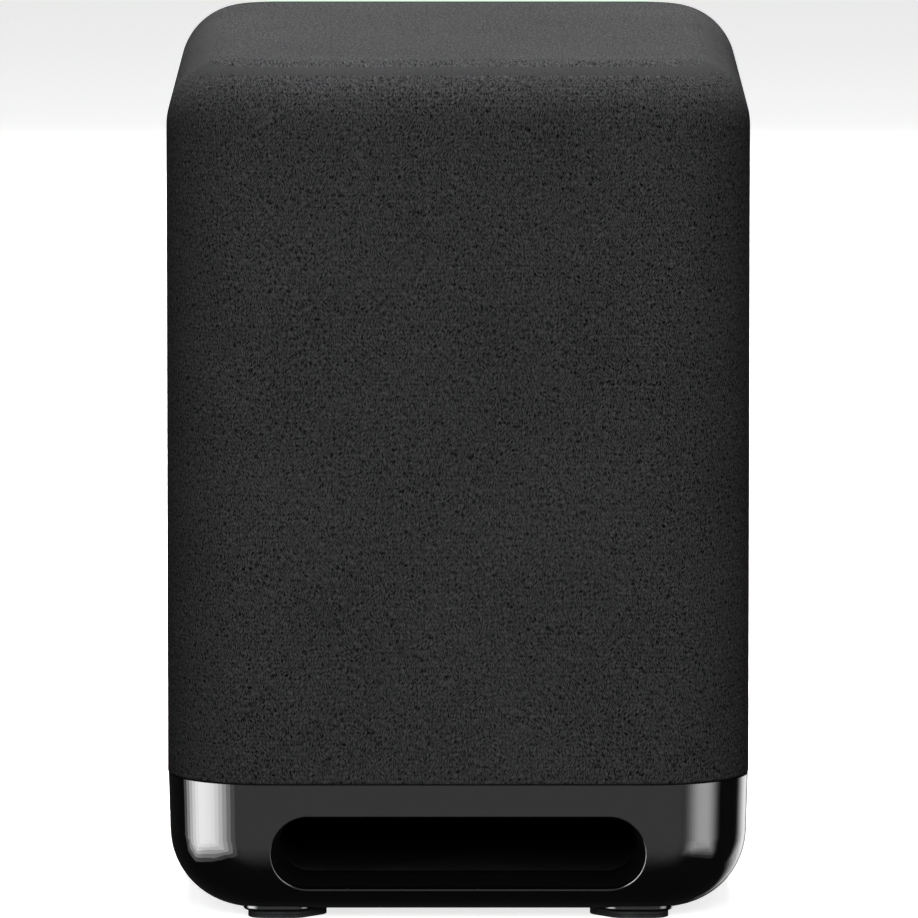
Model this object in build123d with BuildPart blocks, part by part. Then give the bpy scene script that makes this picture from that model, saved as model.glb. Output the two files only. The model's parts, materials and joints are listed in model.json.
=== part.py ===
"""A floor-standing wireless subwoofer: a knit-covered cabinet on a gloss base with a slot port.

The front faces -Y, +X is to its right-hand side as seen from the front, and +Z is up.
The origin is on the floor, under the middle of the cabinet. All sizes are in millimetres.
"""

import os
from math import cos, pi, radians, sin

from build123d import *

# ---------------------------------------------------------------- driving dimensions
WIDTH = 260.0
DEPTH = 400.0
HEIGHT = 385.0
CORNER_RADIUS = 46.0  # of the upright corners, in plan
TOP_RADIUS = 30.5  # where the sides roll over into the top
SEAM_HEIGHT = 63.8  # where the knit meets the gloss base
SEAM_GAP = 0.4

KNIT = 1.0  # thickness of the knit cover
GLUE = 0.1  # between the knit and the cabinet
WALL = 10.0  # cabinet wall
FLOOR = 12.0  # cabinet bottom panel

BASE_BOTTOM = 4.0
BASE_RADIUS = 35.0  # where the base rolls under
BASE_DRAFT = 1.7  # degrees
BASE_STEP = 0.3  # how far the base stands back from the knit
BASE_WALL = 3.0

SLOT_WIDTH = 166.5
SLOT_HEIGHT = 33.2
SLOT_Z = 32.5
DUCT_WIDTH = 160.0
DUCT_HEIGHT = 28.0
DUCT_WALL = 2.5
DUCT_BEND = 30.0
DUCT_RISE_Y = -42.0  # where the duct turns up into the cabinet
DUCT_TOP = 130.0
FLARE_BACK = -150.0  # where the flare ends and the duct begins

DRIVER_Z = 215.0
FRAME_RADIUS = 93.0
DRIVER_HOLE = 80.0
GRILLE_RADIUS = 96.5
GRILLE_DEPTH = 2.0  # how far the grille stands behind the cabinet's front
BAFFLE = 21.0
FRAME_RECESS = 12.0
GASKET = 1.0
FRAME_FLANGE = 4.0

REAR_Z = 209.0
REAR_WIDTH = 166.0
REAR_HEIGHT = 276.0
REAR_CORNER = 14.0
PANEL = 3.0
WINDOW_WIDTH = 140.0
WINDOW_HEIGHT = 250.0
TUB_DEPTH = 60.0
TUB_WALL = 2.5
TUB_FLANGE = 2.0

BUTTON_X = 16.0
BUTTON_Z = 158.0
LED_Z = 172.0
BUTTON_RADIUS = 4.5
BUTTON_TRAVEL = 1.2
INLET_Z = 104.0

SIDES = (-1, 1)

# ---------------------------------------------------------------- worked-out places
SHELL_INSET = KNIT + GLUE
FRONT_Y = -DEPTH / 2
REAR_Y = DEPTH / 2
CABINET_FRONT = FRONT_Y + SHELL_INSET
CABINET_REAR = REAR_Y - SHELL_INSET
CABINET_BOTTOM = SEAM_HEIGHT + SEAM_GAP / 2
BASE_TOP = SEAM_HEIGHT - SEAM_GAP / 2
BAFFLE_FRONT = CABINET_FRONT + WALL
LEDGE_Y = BAFFLE_FRONT + FRAME_RECESS
DRIVER_FRONT = LEDGE_Y - GASKET - FRAME_FLANGE
PANEL_BACK = REAR_Y - PANEL
TUB_SEAT = PANEL_BACK - TUB_FLANGE
TUB_END = PANEL_BACK - TUB_DEPTH

os.makedirs("parts", exist_ok=True)


def save(builder, name):
    """Labels a finished piece and writes it to its own STEP file."""
    builder.part.label = name
    export_step(builder.part, f"parts/{name}.step")
    print(name, len(builder.part.solids()), round(builder.part.volume))


def facing_rear(y):
    """A plane square to the Y axis at y. Its x is X and its y is Z, and extruding goes towards the front."""
    return Plane(origin=(0, y, 0), x_dir=(1, 0, 0), z_dir=(0, -1, 0))


def rounded_form(inset, low):
    """The cabinet's rounded outer form from height low to the top, drawn in all round by inset."""
    with BuildPart() as form:
        with BuildSketch(Plane.XY.offset(low)):
            RectangleRounded(WIDTH - 2 * inset, DEPTH - 2 * inset, CORNER_RADIUS - inset)
        extrude(amount=HEIGHT - inset - low)
        fillet(form.edges().group_by(Axis.Z)[-1], TOP_RADIUS - inset)
    return form.part


def base_form(inset):
    """The base's tapered, round-bottomed form, drawn in by inset and open-topped when used as a hollow."""
    top = BASE_TOP + (inset > 0)
    with BuildPart() as form:
        with BuildSketch(Plane.XY.offset(top)):
            width = WIDTH - 2 * (BASE_STEP + inset)
            depth = DEPTH - 2 * (BASE_STEP + inset)
            RectangleRounded(width, depth, CORNER_RADIUS - BASE_STEP - inset)
        extrude(amount=top - BASE_BOTTOM - inset, dir=(0, 0, -1), taper=BASE_DRAFT)
        fillet(form.edges().group_by(Axis.Z)[0], BASE_RADIUS - inset)
    return form.part


base_outer = base_form(0)
base_hollow = base_form(BASE_WALL)

# ---------------------------------------------------------------- knit cover
with BuildPart() as fabric_cover:
    add(rounded_form(0, SEAM_HEIGHT + SEAM_GAP / 2))
    add(rounded_form(KNIT, SEAM_HEIGHT - WALL), mode=Mode.SUBTRACT)
    with BuildSketch(facing_rear(REAR_Y + 1)):
        with Locations((0, REAR_Z)):
            RectangleRounded(REAR_WIDTH + 0.8, REAR_HEIGHT + 0.8, REAR_CORNER + 0.4)
    extrude(amount=WALL, mode=Mode.SUBTRACT)
save(fabric_cover, "fabric_cover")

# ---------------------------------------------------------------- cabinet
POST_X = 100.0  # the posts that join the cabinet to the base
POST_ROWS = (-120, 0, 120)
PANEL_SCREW_X = 78.5
PANEL_SCREW_ROWS = (-120, -40, 40, 120)  # heights above and below the middle of the rear panel
POST_PLACES = [(x * POST_X, y) for x in SIDES for y in POST_ROWS]
PANEL_SCREWS = [(x * PANEL_SCREW_X, REAR_Z + z) for x in SIDES for z in PANEL_SCREW_ROWS]
SCREW_CLEARANCE = 0.05
GRILLE_SHEET = 2.0
GRILLE_SEAT = GRILLE_DEPTH + GRILLE_SHEET + 0.1  # depth of the recess that the grille stands in

with BuildPart() as cabinet:
    add(rounded_form(SHELL_INSET, CABINET_BOTTOM))
    add(rounded_form(SHELL_INSET + WALL, CABINET_BOTTOM + FLOOR), mode=Mode.SUBTRACT)
    # driver opening: a shallow seat for the grille, then a through hole
    for radius, reach in ((GRILLE_RADIUS + 0.4, GRILLE_SEAT), (GRILLE_RADIUS - 2.5, WALL + 1)):
        with BuildSketch(facing_rear(CABINET_FRONT + reach)):
            with Locations((0, DRIVER_Z)):
                Circle(radius)
        extrude(amount=reach + 1, mode=Mode.SUBTRACT)
    # rear: seats for the panel and for the amplifier tub's flange, then the window
    for grow, corner, depth in (
        ((REAR_WIDTH + 0.6, REAR_HEIGHT + 0.6), REAR_CORNER + 0.3, PANEL),
        ((WINDOW_WIDTH + 11, WINDOW_HEIGHT + 11), 8, PANEL + TUB_FLANGE),
        ((WINDOW_WIDTH, WINDOW_HEIGHT), 6, 30),
    ):
        with BuildSketch(facing_rear(REAR_Y)):
            with Locations((0, REAR_Z)):
                RectangleRounded(*grow, corner)
        extrude(amount=depth, mode=Mode.SUBTRACT)
    with BuildSketch(Plane.XY.offset(CABINET_BOTTOM)):
        with Locations((0, DUCT_RISE_Y)):
            SlotOverall(DUCT_WIDTH + 2 * DUCT_WALL + 0.6, DUCT_HEIGHT + 2 * DUCT_WALL + 0.6)
    extrude(amount=FLOOR, mode=Mode.SUBTRACT)
    with BuildSketch(Plane.XY.offset(CABINET_BOTTOM)):
        with Locations(*POST_PLACES):
            Circle(2 + SCREW_CLEARANCE)
    extrude(amount=9.5, mode=Mode.SUBTRACT)
    with BuildSketch(facing_rear(PANEL_BACK)):
        with Locations(*PANEL_SCREWS):
            Circle(1.5 + SCREW_CLEARANCE)
    extrude(amount=7.5, mode=Mode.SUBTRACT)
save(cabinet, "cabinet")

# ---------------------------------------------------------------- window brace across the cabinet
BRACE = 10.0
BRACE_WINDOW = (150.0, 210.0)
BRACE_CORNER = 30.0
with BuildPart() as cabinet_brace:
    with BuildSketch(facing_rear(BRACE / 2)):
        with Locations((0, REAR_Z + 15)):
            Rectangle(WIDTH, HEIGHT)
            RectangleRounded(*BRACE_WINDOW, BRACE_CORNER, mode=Mode.SUBTRACT)
    extrude(amount=BRACE)
    add(rounded_form(SHELL_INSET + WALL + 0.1, CABINET_BOTTOM + FLOOR), mode=Mode.INTERSECT)
save(cabinet_brace, "cabinet_brace")

# ---------------------------------------------------------------- driver baffle
BAFFLE_SIZE = 236.0
DRIVER_SCREW_RING = 88.5
DRIVER_SCREW_ANGLES = [radians(22.5 + 45 * step) for step in range(8)]
DRIVER_SCREW_PLACES = [
    (DRIVER_SCREW_RING * cos(a), DRIVER_Z + DRIVER_SCREW_RING * sin(a)) for a in DRIVER_SCREW_ANGLES
]
with BuildPart() as driver_baffle:
    with BuildSketch(facing_rear(BAFFLE_FRONT + BAFFLE)):
        with Locations((0, DRIVER_Z)):
            RectangleRounded(BAFFLE_SIZE, BAFFLE_SIZE, 6)
    extrude(amount=BAFFLE)
    add(rounded_form(SHELL_INSET + WALL + 0.1, CABINET_BOTTOM + FLOOR), mode=Mode.INTERSECT)
    for radius, reach in ((FRAME_RADIUS + 0.8, FRAME_RECESS), (DRIVER_HOLE, BAFFLE)):
        with BuildSketch(facing_rear(BAFFLE_FRONT + reach)):
            with Locations((0, DRIVER_Z)):
                Circle(radius)
        extrude(amount=reach + 1, mode=Mode.SUBTRACT)
    with BuildSketch(facing_rear(BAFFLE_FRONT + BAFFLE)):
        with Locations(*DRIVER_SCREW_PLACES):
            Circle(2 + SCREW_CLEARANCE)
    extrude(amount=BAFFLE, mode=Mode.SUBTRACT)
save(driver_baffle, "driver_baffle")

# ---------------------------------------------------------------- perforated grille behind the knit
GRILLE_HOLE = 4.0
GRILLE_PITCH = 11.0
GRILLE_ROWS = 8


def inside_grille(column, row):
    """A hexagonal grid place, or None where its hole would break the grille's rim."""
    x = (column + (row % 2) / 2) * GRILLE_PITCH
    z = row * GRILLE_PITCH * sin(pi / 3)
    near_rim = (x * x + z * z) ** 0.5 > GRILLE_RADIUS - GRILLE_HOLE - 3.5
    return None if near_rim else (x, DRIVER_Z + z)


GRILLE_PLACES = [
    inside_grille(column, row)
    for column in range(-GRILLE_ROWS - 1, GRILLE_ROWS + 1)
    for row in range(-GRILLE_ROWS - 1, GRILLE_ROWS + 2)
]
with BuildPart() as support_grille:
    with BuildSketch(facing_rear(CABINET_FRONT + GRILLE_DEPTH + GRILLE_SHEET)):
        with Locations((0, DRIVER_Z)):
            Circle(GRILLE_RADIUS)
        with Locations(*[place for place in GRILLE_PLACES if place]):
            Circle(GRILLE_HOLE, mode=Mode.SUBTRACT)
    extrude(amount=GRILLE_SHEET)
save(support_grille, "support_grille")

# ---------------------------------------------------------------- gasket in the shadow gap
with BuildPart() as seam_gasket:
    with BuildSketch(Plane.XY.offset(BASE_TOP)):
        RectangleRounded(WIDTH - 3.2, DEPTH - 3.2, CORNER_RADIUS - 1.6)
        RectangleRounded(WIDTH - 6.2, DEPTH - 6.2, CORNER_RADIUS - 3.1, mode=Mode.SUBTRACT)
    extrude(amount=SEAM_GAP)
save(seam_gasket, "seam_gasket")

# ---------------------------------------------------------------- feet outlines
FOOT_FRONT = 28.0  # from the front of the cabinet to the front of a foot
FOOT_OUTER = 94.0  # from the middle to a foot's outer side
FOOT_SEAT = 3.2  # height of the rubber pad
FOOT_SCREW = (78.0, 156.0)
HOLDER_HEIGHT = 9.0  # of the gloss collar round a pad, before the base is cut from it
HOLDER_GROW = 2.2  # how far the collar stands out round the pad
PAD_GROOVE = (1.5, 1.9)  # heights between which a fine groove runs round the pad
FOOT_OUTLINE = [(0, 0), (23, 0), (38, 17), (17, 38), (0, 23)]  # inwards from its outer corner


def foot_points(side, end):
    """One foot's outline in plan: a rounded shield with its square corner under the cabinet's corner."""
    reach = DEPTH / 2 - FOOT_FRONT
    return [(side * (FOOT_OUTER - a), end * (reach - b)) for a, b in FOOT_OUTLINE]


def foot_slab(side, end, low, high, grow):
    """A slab of one foot's outline, from height low to high, grown all round by grow."""
    with BuildPart() as foot:
        with BuildSketch(Plane.XY.offset(low)) as outline:
            with BuildLine():
                Polyline(*foot_points(side, end), close=True)
            make_face()
            fillet(outline.vertices(), 8)
            if grow:
                offset(amount=grow)
        extrude(amount=high - low)
    return foot.part


# ---------------------------------------------------------------- gloss base
POST_RADIUS = 6.0
HEAD_SEAT = 50.0  # height at which the cabinet screws' heads bear
FOOT_SCREWS = [(x * FOOT_SCREW[0], y * FOOT_SCREW[1]) for x in SIDES for y in SIDES]
with BuildPart() as base_shell:
    add(base_outer)
    with BuildSketch(facing_rear(FRONT_Y + 40)):
        with Locations((0, SLOT_Z)):
            SlotOverall(SLOT_WIDTH, SLOT_HEIGHT)
    extrude(amount=45, mode=Mode.SUBTRACT)
    rim = base_shell.edges().filter_by(lambda e: e.center().Y < FRONT_Y + 20)
    rim = rim.filter_by(lambda e: abs(e.center().X) < SLOT_WIDTH / 2 + 1)
    rim = rim.filter_by(lambda e: abs(e.center().Z - SLOT_Z) < SLOT_HEIGHT / 2 + 1)
    fillet(rim, 0.8)
    add(base_hollow, mode=Mode.SUBTRACT)
    with BuildSketch(Plane.XY.offset(BASE_BOTTOM + BASE_WALL)):
        with Locations(*POST_PLACES):
            Circle(POST_RADIUS)
    extrude(amount=BASE_TOP - BASE_BOTTOM - BASE_WALL)
    with BuildSketch(Plane.XY.offset(BASE_BOTTOM + 1)):
        with Locations(*FOOT_SCREWS):
            Circle(4.5)
    extrude(amount=5.5)
    with BuildSketch(Plane.XY):
        with Locations(*POST_PLACES):
            Circle(2.3)
        with Locations(*FOOT_SCREWS):
            Circle(1.6 + SCREW_CLEARANCE)
    extrude(amount=BASE_TOP, mode=Mode.SUBTRACT)
    with BuildSketch(Plane.XY):
        with Locations(*POST_PLACES):
            Circle(4.4)
    extrude(amount=HEAD_SEAT, mode=Mode.SUBTRACT)
save(base_shell, "base_shell")

# ---------------------------------------------------------------- port flare and duct
FLARE_OUTER = (SLOT_WIDTH + 8, SLOT_HEIGHT + 7.5)
FLARE_THROAT = FRONT_Y + 35
with BuildPart() as port_flare:
    with BuildSketch(facing_rear(FLARE_BACK)):
        with Locations((0, SLOT_Z)):
            SlotOverall(*FLARE_OUTER)
    extrude(amount=FLARE_BACK - FRONT_Y)
    add(base_form(BASE_WALL + 0.1), mode=Mode.INTERSECT)
    with BuildSketch(facing_rear(FRONT_Y)):
        with Locations((0, SLOT_Z)):
            SlotOverall(SLOT_WIDTH + 1, SLOT_HEIGHT + 1)
    with BuildSketch(facing_rear(FLARE_THROAT)):
        with Locations((0, SLOT_Z)):
            SlotOverall(DUCT_WIDTH, DUCT_HEIGHT)
    loft(mode=Mode.SUBTRACT)
    with BuildSketch(facing_rear(FLARE_BACK)):
        with Locations((0, SLOT_Z)):
            SlotOverall(DUCT_WIDTH, DUCT_HEIGHT)
    extrude(amount=FLARE_BACK - FLARE_THROAT, mode=Mode.SUBTRACT)
save(port_flare, "port_flare")

with BuildPart() as port_duct:
    with BuildLine() as duct_path:
        FilletPolyline(
            (0, FLARE_BACK, SLOT_Z),
            (0, DUCT_RISE_Y, SLOT_Z),
            (0, DUCT_RISE_Y, DUCT_TOP),
            radius=DUCT_BEND,
        )
    with BuildSketch(facing_rear(FLARE_BACK)):
        with Locations((0, SLOT_Z)):
            SlotOverall(DUCT_WIDTH + 2 * DUCT_WALL, DUCT_HEIGHT + 2 * DUCT_WALL)
            SlotOverall(DUCT_WIDTH, DUCT_HEIGHT, mode=Mode.SUBTRACT)
    sweep(path=duct_path.wire())
save(port_duct, "port_duct")

# ---------------------------------------------------------------- feet
END_NAMES = {-1: "front", 1: "rear"}
SIDE_NAMES = {-1: "left", 1: "right"}
for end in SIDES:
    for side in SIDES:
        where = f"{END_NAMES[end]}_{SIDE_NAMES[side]}"
        screw_place = (side * FOOT_SCREW[0], end * FOOT_SCREW[1])
        with BuildPart() as foot_holder:
            add(foot_slab(side, end, FOOT_SEAT, FOOT_SEAT + HOLDER_HEIGHT, HOLDER_GROW))
            fillet(foot_holder.edges().group_by(Axis.Z)[0], 1.5)
            add(base_outer, mode=Mode.SUBTRACT)
            with BuildSketch(Plane.XY.offset(FOOT_SEAT)):
                with Locations(screw_place):
                    Circle(1.6 + SCREW_CLEARANCE)
            extrude(amount=HOLDER_HEIGHT, mode=Mode.SUBTRACT)
        save(foot_holder, f"foot_holder_{where}")

        with BuildPart() as foot_pad:
            add(foot_slab(side, end, 0, PAD_GROOVE[0], 0))
            add(foot_slab(side, end, *PAD_GROOVE, -0.6))
            add(foot_slab(side, end, PAD_GROOVE[1], FOOT_SEAT, 0))
            fillet(foot_pad.edges().group_by(Axis.Z)[0], 0.5)
            with BuildSketch(Plane.XY):
                with Locations(screw_place):
                    Circle(4.2)
            extrude(amount=FOOT_SEAT, mode=Mode.SUBTRACT)
        save(foot_pad, f"foot_pad_{where}")


# ---------------------------------------------------------------- screws of the base
def screws(places, plane, head_radius, head_height, shank_radius, length):
    """Separate pan-head screws. plane lies under the heads, and its normal points the way they drive."""
    with BuildPart() as group:
        with BuildSketch(plane):
            with Locations(*places):
                Circle(head_radius)
        extrude(amount=-head_height)
        fillet(group.edges().group_by(Axis(plane.origin, plane.z_dir))[0], head_height / 3)
        with BuildSketch(plane):
            with Locations(*places):
                Circle(shank_radius)
        extrude(amount=length)
        with BuildSketch(plane.offset(-head_height)):
            with Locations(*places):
                Rectangle(head_radius, head_radius / 5)
                Rectangle(head_radius / 5, head_radius)
        extrude(amount=head_height / 2, mode=Mode.SUBTRACT)
    return group


save(screws(FOOT_SCREWS, Plane.XY.offset(FOOT_SEAT), 3.8, 2.2, 1.6, 7), "foot_screws")
save(screws(POST_PLACES, Plane.XY.offset(HEAD_SEAT), 3.9, 3.0, 2.0, 22), "base_screws")

# ---------------------------------------------------------------- driver
# In these profiles the first number is a radius and the second the distance behind the frame's front.
profile_plane = Plane(origin=(0, DRIVER_FRONT, DRIVER_Z), x_dir=(1, 0, 0), z_dir=(0, 0, 1))
driver_axis = Axis((0, DRIVER_FRONT, DRIVER_Z), (0, 1, 0))
FRAME_BACK = 50.0
SPIDER_SEAT = 37.0
RIM_RADIUS = 65.8
NECK_RADIUS = 20.2
NECK_DEPTH = 31.2
ROLL_MIDDLE = 72.5
ROLL_RADIUS = 6.5
ROLL_SKIN = 0.9
CAP_RADIUS = 26.0
CAP_CROWN = 38.8  # radius of the dust cap's dome
WINDOWS = 6
WINDOW_ARC = 38.0


def turned(*points):
    """A new part: the closed profile through points, turned about the driver's axis."""
    with BuildPart() as ring:
        with BuildSketch(profile_plane):
            with BuildLine():
                Polyline(*points, close=True)
            make_face()
        revolve(axis=driver_axis)
    return ring


def tube(inner, outer, front, back):
    """A new part: a plain ring about the driver's axis."""
    return turned((inner, front), (outer, front), (outer, back), (inner, back))


def radial_plane(angle):
    """The profile plane swung round the driver's axis, angle degrees up from +X."""
    swing = radians(angle)
    x_dir = (cos(swing), 0, sin(swing))
    z_dir = (-sin(swing), 0, cos(swing))
    return Plane(origin=(0, DRIVER_FRONT, DRIVER_Z), x_dir=x_dir, z_dir=z_dir)


with BuildPart() as driver_basket:
    add(
        turned(
            (77, 0), (FRAME_RADIUS, 0), (FRAME_RADIUS, FRAME_FLANGE), (79.5, FRAME_FLANGE),
            (57, 46), (57, FRAME_BACK), (24, FRAME_BACK), (24, 47), (54, 47),
            (54, 39.5), (50, 39.5), (50, SPIDER_SEAT), (58.8, SPIDER_SEAT),
        ).part
    )
    for window in range(WINDOWS):
        with BuildSketch(radial_plane(window * 360 / WINDOWS - WINDOW_ARC / 2)):
            with Locations((70, 21.5)):
                RectangleRounded(40, 25, 4)
        revolve(axis=driver_axis, revolution_arc=WINDOW_ARC, mode=Mode.SUBTRACT)
    with BuildSketch(facing_rear(DRIVER_FRONT + FRAME_FLANGE)):
        with Locations(*DRIVER_SCREW_PLACES):
            Circle(2.3)
    extrude(amount=FRAME_FLANGE, mode=Mode.SUBTRACT)
save(driver_basket, "driver_basket")

with BuildPart() as driver_gasket:
    with BuildSketch(facing_rear(LEDGE_Y)):
        with Locations((0, DRIVER_Z)):
            Circle(FRAME_RADIUS - 0.5)
            Circle(DRIVER_HOLE + 0.3, mode=Mode.SUBTRACT)
        with Locations(*DRIVER_SCREW_PLACES):
            Circle(2.4, mode=Mode.SUBTRACT)
    extrude(amount=GASKET)
save(driver_gasket, "driver_gasket")

with BuildPart() as surround:
    with BuildSketch(profile_plane):
        with Locations((ROLL_MIDDLE, -0.3)):
            Circle(ROLL_RADIUS + ROLL_SKIN)
            Circle(ROLL_RADIUS, mode=Mode.SUBTRACT)
            with Locations((0, 10)):
                Rectangle(30, 20, mode=Mode.SUBTRACT)
            for side in SIDES:
                with Locations((side * (ROLL_RADIUS + 2.6), -ROLL_SKIN / 2)):
                    Rectangle(5.2, ROLL_SKIN)
    revolve(axis=driver_axis)
save(surround, "surround")

cone_profile = [
    (RIM_RADIUS, 0.05), (60.6, 0.05), (NECK_RADIUS, NECK_DEPTH),
    (NECK_RADIUS, NECK_DEPTH + 1.4), (61.0, 1.15), (RIM_RADIUS, 1.15),
]
save(turned(*cone_profile), "cone")

with BuildPart() as dust_cap:
    with BuildSketch(profile_plane):
        with BuildLine():
            crown = [(r, 16.4 + CAP_CROWN - (CAP_CROWN**2 - r * r) ** 0.5) for r in (0, 13, CAP_RADIUS)]
            ThreePointArc(*crown)
            ThreePointArc(*[(r, depth - 0.8) for r, depth in crown])
            Line(crown[2], (crown[2][0], crown[2][1] - 0.8))
            Line(crown[0], (crown[0][0], crown[0][1] - 0.8))
        make_face()
    revolve(axis=driver_axis)
save(dust_cap, "dust_cap")

save(tube(19.0, 20.1, 28, 66), "voice_coil_former")
save(tube(20.15, 21.6, 42.5, 64.5), "voice_coil_winding")

SPIDER_SKIN = 0.5
SPIDER_WAVES = 5
WAVE_STEPS = 8
WAVE_HEIGHT = 1.4
WAVE_START = 24.0
WAVE_END = 50.0
STEP_WIDTH = (WAVE_END - WAVE_START) / (SPIDER_WAVES * WAVE_STEPS)
spider_rings = [(20.4, 0)] + [
    (WAVE_START + STEP_WIDTH * step, WAVE_HEIGHT * sin(2 * pi * step / WAVE_STEPS))
    for step in range(SPIDER_WAVES * WAVE_STEPS + 1)
] + [(58.3, 0)]
spider_front = [(r, SPIDER_SEAT - 0.9 + wave) for r, wave in spider_rings]
spider_back = [(r, depth + SPIDER_SKIN) for r, depth in reversed(spider_front)]
save(turned(*spider_front, *spider_back), "spider")

save(tube(22.6, 50, FRAME_BACK, 57), "top_plate")
save(tube(28, 55, 57, 77), "magnet")
save(turned((6, FRAME_BACK), (18.6, FRAME_BACK), (18.6, 77), (50, 77), (50, 84), (6, 84)), "pole_yoke")

with BuildPart() as driver_terminals:
    with BuildSketch(facing_rear(DRIVER_FRONT + 44)):
        with Locations((0, DRIVER_Z - 64)):
            Rectangle(20, 12)
    extrude(amount=10)
    for side in SIDES:
        with BuildSketch(facing_rear(DRIVER_FRONT + 51)):
            with Locations((side * 6, DRIVER_Z - 67)):
                Rectangle(0.8, 4.8)
        extrude(amount=10)
    add(turned((0, 4), (79.6, 4), (57.1, 46), (57.1, 60), (0, 60)).part, mode=Mode.SUBTRACT)
save(driver_terminals, "driver_terminals")

driving_back = Plane(origin=(0, DRIVER_FRONT, 0), x_dir=(-1, 0, 0), z_dir=(0, 1, 0))
save(screws(DRIVER_SCREW_PLACES, driving_back, 3.4, 2.5, 2.0, 16), "driver_screws")

# ---------------------------------------------------------------- rear panel
INLET_BODY = (22.5, 14.5)
INLET_BEZEL = (26.0, 18.0)
CONTROL_POSTS = [(x * 26.0, 165.0) for x in SIDES]
CONTROL_BOARD_BACK = 188.3
VENT = (50.0, 3.0)
VENT_ROWS = 11
VENT_PITCH = 7.0
VENT_PLACES = [(x * 32, 246 + VENT_PITCH * row) for x in SIDES for row in range(VENT_ROWS)]
with BuildPart() as rear_panel:
    with BuildSketch(facing_rear(REAR_Y)):
        with Locations((0, REAR_Z)):
            RectangleRounded(REAR_WIDTH, REAR_HEIGHT, REAR_CORNER)
    extrude(amount=PANEL)
    chamfer(rear_panel.edges().group_by(Axis.Y)[-1], 0.8)
    with BuildSketch(facing_rear(PANEL_BACK)):
        with Locations(*CONTROL_POSTS):
            Circle(2.6)
    extrude(amount=PANEL_BACK - CONTROL_BOARD_BACK)
    with BuildSketch(facing_rear(CONTROL_BOARD_BACK)):
        with Locations(*CONTROL_POSTS):
            Circle(1.2)
    extrude(amount=2.2)
    with BuildSketch(facing_rear(REAR_Y)):
        with Locations(*[(x * BUTTON_X, BUTTON_Z) for x in SIDES]):
            Circle(BUTTON_RADIUS + 0.08)
        with Locations(*[(x * BUTTON_X, LED_Z) for x in SIDES]):
            Circle(1.6)
        with Locations(*VENT_PLACES):
            SlotOverall(*VENT)
        with Locations(*PANEL_SCREWS):
            Circle(1.6)
        with Locations((0, INLET_Z)):
            RectangleRounded(INLET_BODY[0] + 0.4, INLET_BODY[1] + 0.4, 2)
    extrude(amount=PANEL, mode=Mode.SUBTRACT)
    with BuildSketch(facing_rear(REAR_Y)):
        with Locations((0, INLET_Z)):
            RectangleRounded(INLET_BEZEL[0] + 0.4, INLET_BEZEL[1] + 0.4, 3.2)
    extrude(amount=1.4, mode=Mode.SUBTRACT)
    with BuildSketch(facing_rear(REAR_Y)):
        with Locations(*PANEL_SCREWS):
            Circle(3.1)
    extrude(amount=1.8, mode=Mode.SUBTRACT)
save(rear_panel, "rear_panel")
save(screws(PANEL_SCREWS, facing_rear(REAR_Y - 1.8), 2.8, 1.6, 1.5, 8), "rear_panel_screws")

# ---------------------------------------------------------------- amplifier tub and its boards
GROMMET = (-40.0, 97.0)
with BuildPart() as amp_tub:
    with BuildSketch(facing_rear(TUB_SEAT)):
        with Locations((0, REAR_Z)):
            RectangleRounded(WINDOW_WIDTH - 2, WINDOW_HEIGHT - 2, 5)
    extrude(amount=TUB_SEAT - TUB_END)
    with BuildSketch(facing_rear(PANEL_BACK)):
        with Locations((0, REAR_Z)):
            RectangleRounded(WINDOW_WIDTH + 10, WINDOW_HEIGHT + 10, 7.5)
    extrude(amount=TUB_FLANGE)
    with BuildSketch(facing_rear(PANEL_BACK)):
        with Locations((0, REAR_Z)):
            RectangleRounded(WINDOW_WIDTH - 2 - 2 * TUB_WALL, WINDOW_HEIGHT - 2 - 2 * TUB_WALL, 2.5)
    extrude(amount=TUB_DEPTH - TUB_WALL, mode=Mode.SUBTRACT)
    with BuildSketch(facing_rear(PANEL_BACK)):
        with Locations(GROMMET):
            Circle(5.2)
    extrude(amount=TUB_DEPTH, mode=Mode.SUBTRACT)
save(amp_tub, "amp_tub")

with BuildPart() as lead_grommet:
    grommet_plane = Plane(origin=(GROMMET[0], TUB_END, GROMMET[1]), x_dir=(1, 0, 0), z_dir=(0, 0, 1))
    with BuildSketch(grommet_plane):
        with BuildLine():
            Polyline(
                (2.75, -1.5), (7, -1.5), (7, 0), (5.1, 0), (5.1, TUB_WALL),
                (7, TUB_WALL), (7, TUB_WALL + 1.5), (2.75, TUB_WALL + 1.5),
                close=True,
            )
        make_face()
    revolve(axis=Axis(grommet_plane.origin, (0, 1, 0)))
save(lead_grommet, "lead_grommet")

BOARD_FRONT = TUB_END + TUB_WALL + 6.5
BOARD = 1.6
BOARD_BACK = BOARD_FRONT + BOARD
STANDOFFS = [(x * 52, REAR_Z + z) for x in SIDES for z in (-90, 90)]


def slab(places, size, front, back, corner=0.5):
    """A new part: one rounded block of size (x, z) at each place, from y = front to y = back."""
    with BuildPart() as blocks:
        with BuildSketch(facing_rear(back)):
            with Locations(*places):
                RectangleRounded(*size, corner)
        extrude(amount=back - front)
    return blocks


def discs(places, radius, front, back, hole=0.0):
    """A new part: one round piece at each place, from y = front to y = back, bored through if hole is set."""
    with BuildPart() as rounds:
        with BuildSketch(facing_rear(back)):
            with Locations(*places):
                Circle(radius)
                if hole:
                    Circle(hole, mode=Mode.SUBTRACT)
        extrude(amount=back - front)
    return rounds


with BuildPart() as amp_board:
    add(slab([(0, REAR_Z)], (120, 200), BOARD_FRONT, BOARD_BACK, 3).part)
    add(discs(STANDOFFS, 1.7, BOARD_FRONT, BOARD_BACK).part, mode=Mode.SUBTRACT)
save(amp_board, "amp_board")
save(discs(STANDOFFS, 3, TUB_END + TUB_WALL, BOARD_FRONT, 1.45), "board_standoffs")
save(screws(STANDOFFS, facing_rear(BOARD_BACK), 2.6, 1.6, 1.4, 6), "board_screws")

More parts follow.
